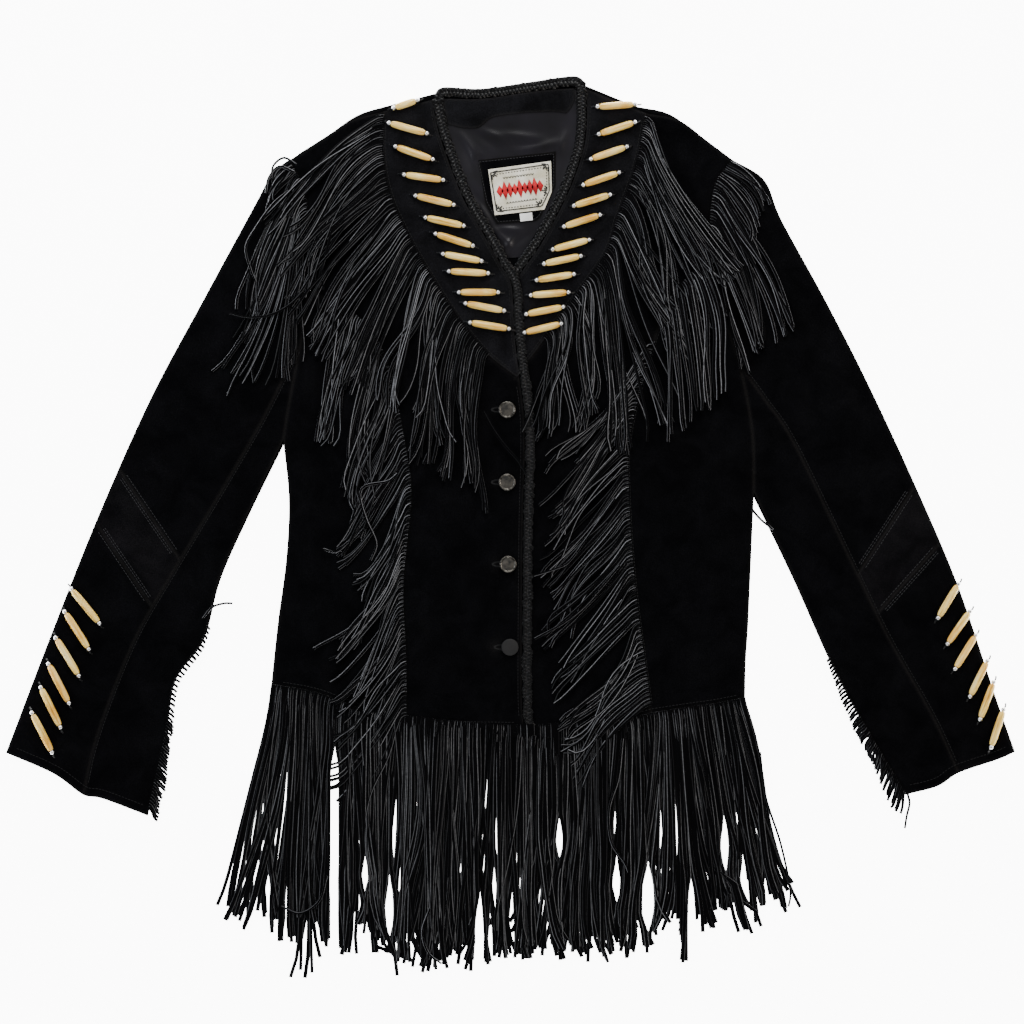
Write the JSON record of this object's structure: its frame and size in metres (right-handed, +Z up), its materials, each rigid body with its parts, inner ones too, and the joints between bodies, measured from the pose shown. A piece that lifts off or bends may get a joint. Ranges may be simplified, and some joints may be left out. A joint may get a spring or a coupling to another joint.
{
  "type": "fringe jacket",
  "caption": "Suede western jacket laid flat, with pointed beaded yokes, laced edges, button front and long cut fringe at yokes, seams, sleeves and hem.",
  "frame": {"origin": "middle of the laid-out jacket, on the surface it lies on", "axes": "+Z up from the surface to the jacket's front face, +Y to the neck, +X to the wearer's left"},
  "size_m": [1.0586, 0.9386, 0.0144],
  "materials": {
    "suede": "black suede, matt nap",
    "suede_worn": "black suede, nap worn a little lighter",
    "fringe_suede": "cut black suede with grey cut edges",
    "lacing_leather": "black smooth leather lace",
    "satin": "dark satin",
    "label_cloth": "woven cream label",
    "button_pewter": "worn pewter",
    "button_plastic": "matt black"
  },
  "bodies": {
    "root": {"back": "suede", "button_1": "button_pewter", "button_2": "button_pewter", "button_3": "button_pewter", "button_4": "button_plastic", "fringe_armhole_left": "fringe_suede", "fringe_armhole_right": "fringe_suede", "fringe_hem_back": "fringe_suede", "fringe_hem_left_centre": "fringe_suede", "fringe_hem_left_side": "fringe_suede", "fringe_hem_right_centre": "fringe_suede", "fringe_hem_right_side": "fringe_suede", "fringe_princess_left": "fringe_suede", "fringe_princess_left_top": "fringe_suede", "fringe_princess_right": "fringe_suede", "fringe_sleeve_left": "fringe_suede", "fringe_sleeve_right": "fringe_suede", "fringe_yoke_left": "fringe_suede", "fringe_yoke_right": "fringe_suede", "front_left_centre": "suede", "front_left_side": "suede", "front_right_centre": "suede", "front_right_side": "suede", "label": "label_cloth", "label_patch": "suede_worn", "lacing_left": "lacing_leather", "lacing_neck": "lacing_leather", "lacing_right": "lacing_leather", "lining": "satin", "neck_facing": "suede", "size_tab": "label_cloth", "sleeve_left_band": "suede_worn", "sleeve_left_forearm": "suede", "sleeve_left_inner": "suede", "sleeve_left_under": "suede", "sleeve_left_upper": "suede", "sleeve_right_band": "suede_worn", "sleeve_right_forearm": "suede", "sleeve_right_inner": "suede", "sleeve_right_under": "suede", "sleeve_right_upper": "suede", "yoke_left": "suede", "yoke_right": "suede"}
  },
  "joints": []
}
